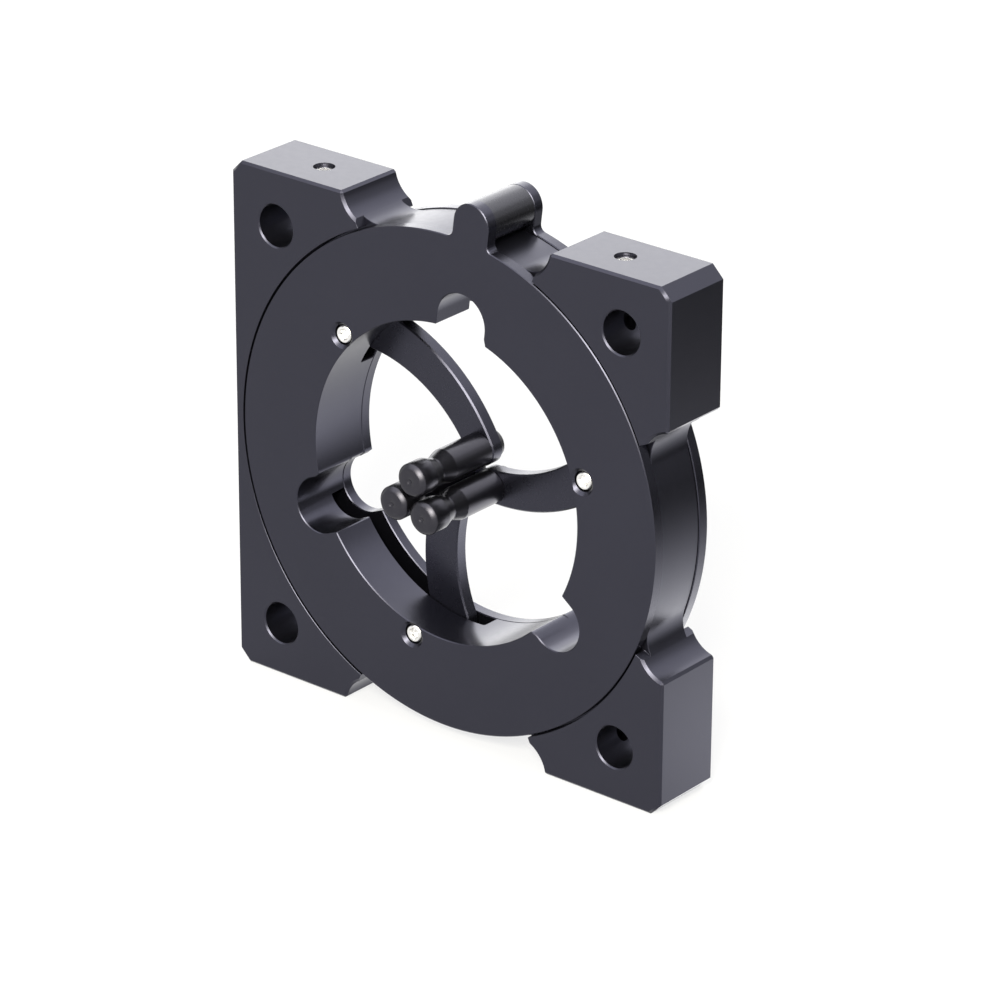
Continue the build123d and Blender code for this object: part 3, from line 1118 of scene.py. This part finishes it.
@dataclass
class Handle:
    """Round bar between the two tabs, and the screw that holds it from behind."""

    bar_round: float = 0.05 * MM
    bar_step: float = 0.02 * MM
    spigot_radius: float = 1.25 * MM
    screw_radius: float = 1.0 * MM
    screw_edge: float = 0.04 * MM
    socket_radius: float = 0.75 * MM
    socket_depth: float = 0.6 * MM

    def __post_init__(self) -> None:
        """Reads the handle's spot from the frame."""
        self.spot = middle_of("handle_bar")

    def build(self) -> None:
        """Models the bar and its screw and ties them to the ring."""
        dress(self.bar(), "handle_grip", HANDLE_SKIN.make(), "ring", "handle", "handle_bar")
        finish = BLACK_STEEL.turned_at("handle_screw_steel", self.spot)
        dress(self.screw(), "handle_cap_screw", finish, "ring", "black_screws", "handle_screw")

    def bar(self) -> bpy.types.Object:
        """The bar, with its spigot in the front tab and its bore for the screw.

        Returns:
            The bar.
        """
        radius = Rings.tab_radius - self.bar_step
        start, end = front_of("handle_bar"), back_of("handle_bar")
        shoulder = back_of("back_ring") - front_of("back_ring")    # both rims are as thick
        pen = Pen((0, start), View.SECTION, axis=self.spot)
        pen.line((self.spigot_radius, start), (self.spigot_radius, shoulder))
        pen.line((radius - self.bar_round, shoulder))
        pen.arc((radius - self.bar_round, shoulder + self.bar_round), 90)
        pen.line((radius, end - self.bar_round))
        pen.arc((radius - self.bar_round, end - self.bar_round), 90)
        pen.line((self.screw_radius, end), (self.screw_radius, end / 2), (0, end / 2))
        bar = pen.turned(steps=128)
        smooth(bar)
        return bar

    def screw(self) -> bpy.types.Object:
        """The countersunk screw.

        Returns:
            The screw.
        """
        end, head = front_of("handle_screw"), back_of("handle_screw")
        radius = half_width_of("handle_screw")
        cone = head - (radius - self.screw_radius)
        pen = Pen((0, end), View.SECTION, axis=self.spot)
        pen.line((self.screw_radius, end), (self.screw_radius, cone), (radius, head), (0, head))
        screw = pen.turned(steps=64)
        deep = head - self.socket_depth
        socket = hexagon(self.socket_radius, deep, head + CUT_PAST, self.spot)
        return finish_screw(screw, socket, self.screw_edge, over=40, segments=2)


@dataclass
class Arms:
    """Three curved arms, each with an eye at its pivot and a forked tail."""

    arc_radius: float = 25.3 * MM
    pivot_offset: float = 1.2 * MM
    root_width: float = 6.4 * MM
    tip_radius: float = 2.5 * MM
    eye_radius: float = 1.34 * MM
    spigot_radius: float = 1.6 * MM
    fork_half_width: float = 1.97 * MM
    fork_reach: float = 7.4 * MM
    fork_fillet: float = 0.55 * MM
    slot_half_width: float = 0.87 * MM
    slot_root: float = 5.3 * MM
    edge: float = 0.2 * MM

    def __post_init__(self) -> None:
        """Reads the arms' length and depths from the frame."""
        self.pivot, post = middle_of("pivot_screw_1"), middle_of("post_1")
        self.length = hypot(post[0] - self.pivot[0], post[1] - self.pivot[1])
        self.along = direction(self.pivot, post)
        self.front, self.back = front_of("arm_1"), back_of("arm_1")

    def build(self) -> None:
        """Models the first arm and its copies."""
        tail_turn = direction(self.pivot, middle_of("drive_pin_1")) - self.along
        front, back = self.front - CUT_PAST, self.back + CUT_PAST
        first = self.blade()
        combine(first, self.tail(tail_turn), Fit.ADD)
        combine(first, self.slot_cutter(tail_turn), Fit.CUT)
        combine(first, disc(self.eye_radius, front, back), Fit.CUT)
        combine(first, disc(self.spigot_radius, front, back, (self.length, 0)), Fit.CUT)
        flatten(first)
        break_edges(first, self.edge, over=50)
        smooth(first)
        turn = Matrix.Rotation(-radians(self.along), 4, "Y")
        first.data.transform(Matrix.Translation((self.pivot[0], 0, self.pivot[1])) @ turn)
        finish = ARM_SKIN.make()
        arms = [first] + [turn_copy(first, station) for station in STATIONS[1:]]
        for number, arm in enumerate(arms, start=1):
            dress(arm, "blade_%d" % number, finish, "arm_%d" % number, "arms", "arm_%d" % number)

    def blade(self) -> bpy.types.Object:
        """The curved band with round ends, with its pivot at the origin and its post on +X.

        Returns:
            The band.
        """
        far = self.arc_radius + self.pivot_offset
        across = (far ** 2 - self.arc_radius ** 2 + self.length ** 2) / (2 * self.length)
        centre = (across, -sqrt(far ** 2 - across ** 2))
        tip_angle = direction(centre, (self.length, 0))
        root_angle = direction(centre, (0, 0))
        tip_width = 2 * self.tip_radius
        widths = ((tip_width, tip_angle), ((tip_width + self.root_width) / 2,
                  (tip_angle + root_angle) / 2), (self.root_width, root_angle))
        outer = [on_circle(self.arc_radius + width / 2, angle, centre) for width, angle in widths]
        inner = [on_circle(self.arc_radius - width / 2, angle, centre) for width, angle in widths]
        pen = Pen(outer[0], depth=self.front)
        arc_through(pen, outer[1], outer[2])
        pen.arc(on_circle(self.arc_radius, root_angle, centre), 180)
        arc_through(pen, inner[1], inner[0])
        pen.arc((self.length, 0), 180)
        return pen.solid(self.back - self.front)

    def tail(self, turn: float) -> bpy.types.Object:
        """The forked tail without its slot.

        Args:
            turn: Degrees from the post's direction to the drive pin's.

        Returns:
            The tail.
        """
        half, reach, round_ = self.fork_half_width, self.fork_reach, self.fork_fillet
        pen = Pen((0, -half), depth=self.front)
        pen.line((reach - round_, -half)).arc((reach - round_, -half + round_), 90)
        pen.line((reach, half - round_)).arc((reach - round_, half - round_), 90)
        pen.line((0, half))
        tail = pen.solid(self.back - self.front)
        tail.data.transform(Matrix.Rotation(-radians(turn), 4, "Y"))
        return tail

    def slot_cutter(self, turn: float) -> bpy.types.Object:
        """Cutter for the slot that the drive pin runs in.

        Args:
            turn: Degrees from the post's direction to the pin's.

        Returns:
            The cutter.
        """
        half, reach = self.slot_half_width, self.fork_reach + CUT_PAST
        pen = Pen((reach, half), depth=self.front - CUT_PAST)
        pen.line((self.slot_root, half)).arc((self.slot_root, 0), 180).line((reach, -half))
        cutter = pen.solid(self.back - self.front + 2 * CUT_PAST)
        cutter.data.transform(Matrix.Rotation(-radians(turn), 4, "Y"))
        return cutter


def arc_through(pen: Pen, middle: Spot, end: Spot) -> None:
    """Draws the arc from where the pen is, through one spot, to another.

    Args:
        pen: The pen.
        middle: Spot on the arc.
        end: Spot where it ends.
    """
    (ax, ay), (bx, by), (cx, cy) = pen.at, middle, end
    twice = 2 * (ax * (by - cy) + bx * (cy - ay) + cx * (ay - by))
    a, b, c = ax * ax + ay * ay, bx * bx + by * by, cx * cx + cy * cy
    centre = ((a * (by - cy) + b * (cy - ay) + c * (ay - by)) / twice,
              (a * (cx - bx) + b * (ax - cx) + c * (bx - ax)) / twice)
    turn = direction(centre, end) - direction(centre, pen.at)
    pen.arc(centre, (turn + 180) % 360 - 180)


@dataclass
class Posts:
    """Three turned lens posts, and the screws behind the arms that hold them."""

    chamfer: float = 0.6 * MM
    head_length: float = 4.9 * MM
    head_taper: float = 1.7 * MM
    neck_radius: float = 1.8 * MM
    neck_length: float = 0.3 * MM
    shoulder_length: float = 1.9 * MM
    spigot_radius: float = 1.58 * MM
    tapped_radius: float = 0.93 * MM
    dimple_radius: float = 0.45 * MM
    dimple_depth: float = 0.45 * MM
    corner: float = 0.08 * MM
    screw_radius: float = 0.9 * MM
    screw_edge: float = 0.12 * MM
    socket_radius: float = 0.75 * MM
    socket_depth: float = 0.6 * MM

    def build(self) -> None:
        """Models the posts and their screws."""
        post = self.post()
        screw = self.screw()
        for number in range(1, 4):
            spot = middle_of("post_%d" % number)
            body = "arm_%d" % number
            finish = POST_METAL.turned_at("post_metal_%d" % number, spot)
            dress(turn_copy(post, 0, spot), "lens_post_%d" % number, finish, body, "posts",
                  "post_%d" % number)
            finish = BLACK_STEEL.turned_at("post_screw_steel_%d" % number, spot)
            dress(turn_copy(screw, 0, spot), "post_cap_screw_%d" % number, finish, body,
                  "black_screws", "post_screw_%d" % number)
        for spare in (post, screw):
            bpy.data.objects.remove(spare, do_unlink=True)

    def post(self) -> bpy.types.Object:
        """A post on the optical axis.

        Returns:
            The post.
        """
        radius, front = half_width_of("post_1"), front_of("post_1")
        seat = front_of("arm_1")
        head = front + self.head_length
        neck = head + self.neck_length
        shoulder = neck + self.shoulder_length
        back = back_of("post_1")
        pen = Pen((0, front + self.dimple_depth), View.SECTION)
        pen.line((self.dimple_radius, front), (radius - self.chamfer, front))
        pen.line((radius, front + self.chamfer), (radius, head - self.head_taper))
        pen.line((self.neck_radius, head), (self.neck_radius, neck))
        pen.line((radius, shoulder), (radius, seat))
        pen.line((self.spigot_radius, seat), (self.spigot_radius, back), (self.tapped_radius, back))
        pen.line((self.tapped_radius, seat), (0, seat))
        post = pen.turned(steps=96)
        break_edges(post, self.corner, over=15)
        smooth(post)
        return post

    def screw(self) -> bpy.types.Object:
        """A post's screw on the optical axis.

        Returns:
            The screw.
        """
        radius, head = half_width_of("post_screw_1"), back_of("post_screw_1")
        seat, end = back_of("arm_1"), front_of("post_screw_1")
        pen = Pen((0, end), View.SECTION)
        pen.line((self.screw_radius, end), (self.screw_radius, seat))
        pen.line((radius, seat), (radius, head), (0, head))
        screw = pen.turned(steps=72)
        deep = head - self.socket_depth
        socket = hexagon(self.socket_radius, deep, head + CUT_PAST, (0, 0))
        return finish_screw(screw, socket, self.screw_edge, over=50)


@dataclass
class PivotScrews:
    """Three bright cap screws that the arms turn on, sunk in the front ring."""

    shank_radius: float = 0.8 * MM
    head_height: float = 1.6 * MM
    socket_radius: float = 0.7 * MM
    socket_depth: float = 0.8 * MM
    head_edge: float = 0.16 * MM
    socket_turn: float = 20.0

    def build(self) -> None:
        """Models one screw and its copies."""
        screw = self.screw()
        for number in range(1, 4):
            spot = middle_of("pivot_screw_%d" % number)
            finish = PIVOT_STEEL.turned_at("pivot_steel_%d" % number, spot)
            copy = turn_copy(screw, self.socket_turn * number, spot)
            dress(copy, "pivot_cap_screw_%d" % number, finish, "ring", "bright_screws",
                  "pivot_screw_%d" % number)
        bpy.data.objects.remove(screw, do_unlink=True)

    def screw(self) -> bpy.types.Object:
        """A screw on the optical axis.

        Returns:
            The screw.
        """
        node = "pivot_screw_1"
        radius, front, end = half_width_of(node), front_of(node), back_of(node)
        seat = front + self.head_height
        pen = Pen((0, front), View.SECTION)
        pen.line((radius, front), (radius, seat), (self.shank_radius, seat))
        pen.line((self.shank_radius, end), (0, end))
        screw = pen.turned(steps=72)
        deep = front + self.socket_depth
        socket = hexagon(self.socket_radius, front - CUT_PAST, deep, (0, 0))
        return finish_screw(screw, socket, self.head_edge, over=70)


@dataclass
class SetScrews:
    """Socket set screws: four on the cage rods, and one that locks the ring."""

    socket_radius: float = 0.87 * MM
    socket_depth: float = 1.2 * MM
    mouth: float = 0.15 * MM
    edge: float = 0.05 * MM
    point_radius: float = 0.4 * MM
    tip_radius: float = 1.1 * MM

    def build(self) -> None:
        """Models the five screws."""
        self.steel = GRUB_STEEL.make()
        for corner in CORNERS:
            node = "rod_screw_" + corner
            low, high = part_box(node)
            up = 1 if high[2] > 0 else -1
            screw = self.screw(high[2] - low[2], half_width_of(node), self.point_radius)
            outer = high[2] if up > 0 else low[2]
            turn = Matrix.Rotation(-radians(90) * up, 4, "X")
            place = Matrix.Translation(((low[0] + high[0]) / 2, (low[1] + high[1]) / 2, outer)) @ turn
            self.settle(screw, place, node, "bright_screws", "rod_grub_" + corner)
        low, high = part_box("ring_lock_screw")
        screw = self.screw(high[0] - low[0], (high[2] - low[2]) / 2, self.tip_radius)
        turn = Matrix.Rotation(-radians(90), 4, "Z")
        place = Matrix.Translation((low[0], (low[1] + high[1]) / 2, 0)) @ turn
        self.settle(screw, place, "ring_lock_screw", "bright_screws", "lock_grub")

    def settle(self, screw: bpy.types.Object, place: Matrix, node: str, slot: str, name: str) -> None:
        """Puts a screw in its hole and dresses it.

        Args:
            screw: The screw.
            place: Where it goes.
            node: CAD node that it stands for.
            slot: Material slot of the record.
            name: Its name.
        """
        screw.data.transform(place)
        dress(screw, name, self.steel, "frame", slot, node)

    def screw(self, length: float, radius: float, point: float) -> bpy.types.Object:
        """A set screw on the optical axis, with its socket at depth 0.

        Args:
            length: Its length.
            radius: Its radius.
            point: Radius of the flat at its point.

        Returns:
            The screw.
        """
        cone = max(radius - point, self.mouth)
        pen = Pen((0, 0), View.SECTION)
        pen.line((radius - self.mouth, 0), (radius, self.mouth), (radius, length - cone))
        pen.line((point, length), (0, length))
        screw = pen.turned(steps=64)
        socket = hexagon(self.socket_radius, -CUT_PAST, self.socket_depth, (0, 0))
        return finish_screw(screw, socket, self.edge, over=50, segments=2)


class HiddenFittings:
    """CAD pieces whose shape stays: the drive pins, the bushes and the soft tip."""

    def build(self) -> None:
        """Gives each of them its finish."""
        for number in range(1, 4):
            pin = "drive_pin_%d" % number
            self.cover(pin, DOWEL_STEEL.turned_at("dowel_steel_%d" % number, middle_of(pin)))
            bush = "pivot_bush_%d" % number
            self.cover(bush, BUSH_BRONZE.turned_at("bush_bronze_%d" % number, middle_of(bush)))
        self.cover("lock_screw_tip", SoftPolymer().make())

    def cover(self, node: str, finish: bpy.types.Material) -> None:
        """Gives a CAD node a finish in its own material slots.

        Args:
            node: Name of the node.
            finish: The finish.
        """
        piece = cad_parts[node]
        if not piece.material_slots:
            piece.data.materials.append(finish)
        for slot in piece.material_slots:
            slot.material = finish
        log.info("%s: kept from the frame", node)


@dataclass(frozen=True)
class Softbox:
    """A rectangular lamp that faces the object."""

    name: str
    place: Place
    width: float
    height: float
    power: float
    colour: Colour = WHITE
    mirrored: bool = True

    def build(self) -> None:
        """Adds the lamp."""
        light = bpy.data.lights.new(self.name, "AREA")
        light.color = self.colour
        light.shape = "RECTANGLE"
        light.size, light.size_y = self.width, self.height
        light.energy = self.power
        lamp = bpy.data.objects.new(self.name, light)
        lamp.visible_glossy = self.mirrored
        bpy.context.scene.collection.objects.link(lamp)
        lamp.location = self.place
        lamp.rotation_euler = (-Vector(self.place)).to_track_quat("-Z", "Y").to_euler()


@dataclass(frozen=True)
class Card:
    """A glowing card that only reflections see, brightest at one spot of it."""

    name: str
    place: Place
    facing: Place
    width: float
    height: float
    level: float               # strength at the spot
    reach: float = 10.0        # distance, in metres, over which it fades to about a third
    spot: Spot = (0.0, 0.0)
    colour: Colour = WHITE

    def build(self) -> None:
        """Adds the card."""
        bpy.ops.object.select_all(action="DESELECT")
        bpy.ops.mesh.primitive_plane_add(size=1)
        card = bpy.context.active_object
        card.name = self.name
        card.data.transform(Matrix.Diagonal((self.width, self.height, 1, 1)))
        card.data.transform(Vector(self.facing).to_track_quat("Z", "Y").to_matrix().to_4x4())
        card.location = self.place
        card.visible_camera = False
        card.visible_diffuse = False
        card.visible_shadow = False
        card.visible_transmission = False
        card.data.materials.append(self.glow())

    def glow(self) -> bpy.types.Material:
        """Builds the glow, which fades from the spot in every direction.

        Returns:
            The material.
        """
        material = bpy.data.materials.new(self.name)
        nodes = Nodes(material)
        shift = nodes.add("Mapping", Location=(-self.spot[0], -self.spot[1], 0.0))
        nodes.link(nodes.add("TexCoord"), "Object", shift, "Vector")
        away = nodes.add("VectorMath")
        away.operation = "LENGTH"
        nodes.link(shift, "Vector", away, 0)
        fall = nodes.add("Math")
        fall.operation = "POWER"
        fall.inputs[0].default_value = exp(-1 / self.reach)
        nodes.link(away, "Value", fall, 1)
        glow = nodes.add("Emission", Color=(*self.colour, 1.0))
        nodes.tree.links.new(nodes.times(fall.outputs[0], self.level), glow.inputs["Strength"])
        nodes.link(glow, 0, nodes.out, "Surface")
        return material


@dataclass
class Studio:
    """Pale floor, soft lamps, white surroundings and the camera."""

    azimuth: float = 39.43
    elevation: float = 24.05
    roll: float = 0.343
    distance: float = 654.9 * MM
    aim_right: float = 7.70 * MM
    aim_up: float = -1.99 * MM
    lens: float = 174.18
    sensor: float = 36.0
    nearest: float = 10 * MM
    floor_half: float = 2.5
    floor_grey: float = 0.97
    floor_lift: float = 0.75       # how far rays that see it directly find it lifted to white
    surround: float = 0.7
    backdrop: float = 1.0

    def build(self) -> None:
        """Sets up the view, the floor, the world, the lamps, the cards and the camera."""
        bpy.context.scene.view_settings.view_transform = "Standard"
        self.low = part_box("frame_plate")[0][2]
        self.floor()
        self.world()
        for light in self.lights():
            light.build()
        self.camera()

    def floor(self) -> None:
        """A plain pale floor under the plate's feet, which keeps its shadow."""
        bpy.ops.object.select_all(action="DESELECT")
        bpy.ops.mesh.primitive_plane_add(size=2 * self.floor_half, location=(0, 0, self.low))
        floor = bpy.context.active_object
        floor.name = "studio_floor"
        material = bpy.data.materials.new("floor_white")
        nodes = Nodes(material)
        grey = (self.floor_grey, self.floor_grey, self.floor_grey, 1.0)
        matt = nodes.add("BsdfDiffuse", Color=grey)
        glow = nodes.add("Emission", Strength=self.backdrop)
        nodes.blend(nodes.times(nodes.seen_directly(), self.floor_lift), matt, glow)
        floor.data.materials.append(material)

    def world(self) -> None:
        """White surroundings for the camera and reflections, softer light for the rest."""
        world = bpy.data.worlds.new("studio_world")
        bpy.context.scene.world = world
        nodes = Nodes(world)
        soft = nodes.add("Background", Color=(*WHITE, 1.0), Strength=self.surround)
        bright = nodes.add("Background", Color=(*WHITE, 1.0), Strength=self.backdrop)
        nodes.blend(nodes.seen_directly(), soft, bright)

    def lights(self) -> list[Softbox | Card]:
        """The lamps, and the cards that reflections alone see.

        Returns:
            The lamps and cards.
        """
        return [
            Softbox("back_softbox", (-0.423, 0.514, 0.216), width=0.75, height=0.6, power=3.7),
            Softbox("key_lamp", (0.371, -0.628, 0.526), width=0.25, height=0.25, power=9.5,
                    colour=(1.0, 0.97, 0.86), mirrored=False),
            Card("glow_card", (0.4, 0.451, self.low + 0.5 * MM), (0, 0, 1), width=1.0,
                 height=0.9, level=3.8, reach=0.055, spot=(-0.37, -0.411)),
            Card("overhead_card", (0, 0.1, 1.0), (0, 0, -1), width=2.2, height=2.4, level=3.0),
            Card("key_card", (0.433, -0.733, 0.614), (-0.412, 0.698, -0.585), width=1.0,
                 height=1.0, level=33.0, reach=0.3, colour=(1.0, 0.97, 0.84)),
            Card("low_card", (-0.417, 0.432, 0.045), (0.69, -0.72, 0), width=0.5, height=0.11,
                 level=3.3),
            Card("flag_card", (0.32, 0.36, 0.04), (-0.64, -0.77, 0), width=0.8, height=0.16,
                 level=0.3),
        ]

    def camera(self) -> None:
        """Camera at the photograph's angle."""
        turn, tilt, roll = radians(self.azimuth), radians(self.elevation), radians(self.roll)
        back = Vector((sin(turn) * cos(tilt), -cos(turn) * cos(tilt), sin(tilt)))
        right = Vector((cos(turn), sin(turn), 0))
        up = back.cross(right)
        aim = right * self.aim_right + up * self.aim_up
        across = right * cos(roll) + up * sin(roll)
        above = up * cos(roll) - right * sin(roll)
        data = bpy.data.cameras.new("studio_camera")
        data.lens = self.lens
        data.sensor_width = self.sensor
        data.clip_start = self.nearest
        camera = bpy.data.objects.new("studio_camera", data)
        bpy.context.scene.collection.objects.link(camera)
        place = Matrix((across, above, back)).transposed().to_4x4()
        place.translation = aim + back * self.distance
        camera.matrix_world = place
        bpy.context.scene.camera = camera


def main() -> None:
    """Builds every sub-assembly in order, then the studio."""
    logging.basicConfig(level=logging.INFO, format="%(name)s %(message)s")
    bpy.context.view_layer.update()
    for kind in (Plate, Rings, Handle, Arms, Posts, PivotScrews, SetScrews, HiddenFittings, Studio):
        log.info("building %s", kind.__name__)
        kind().build()


if __name__ == "__main__":
    main()
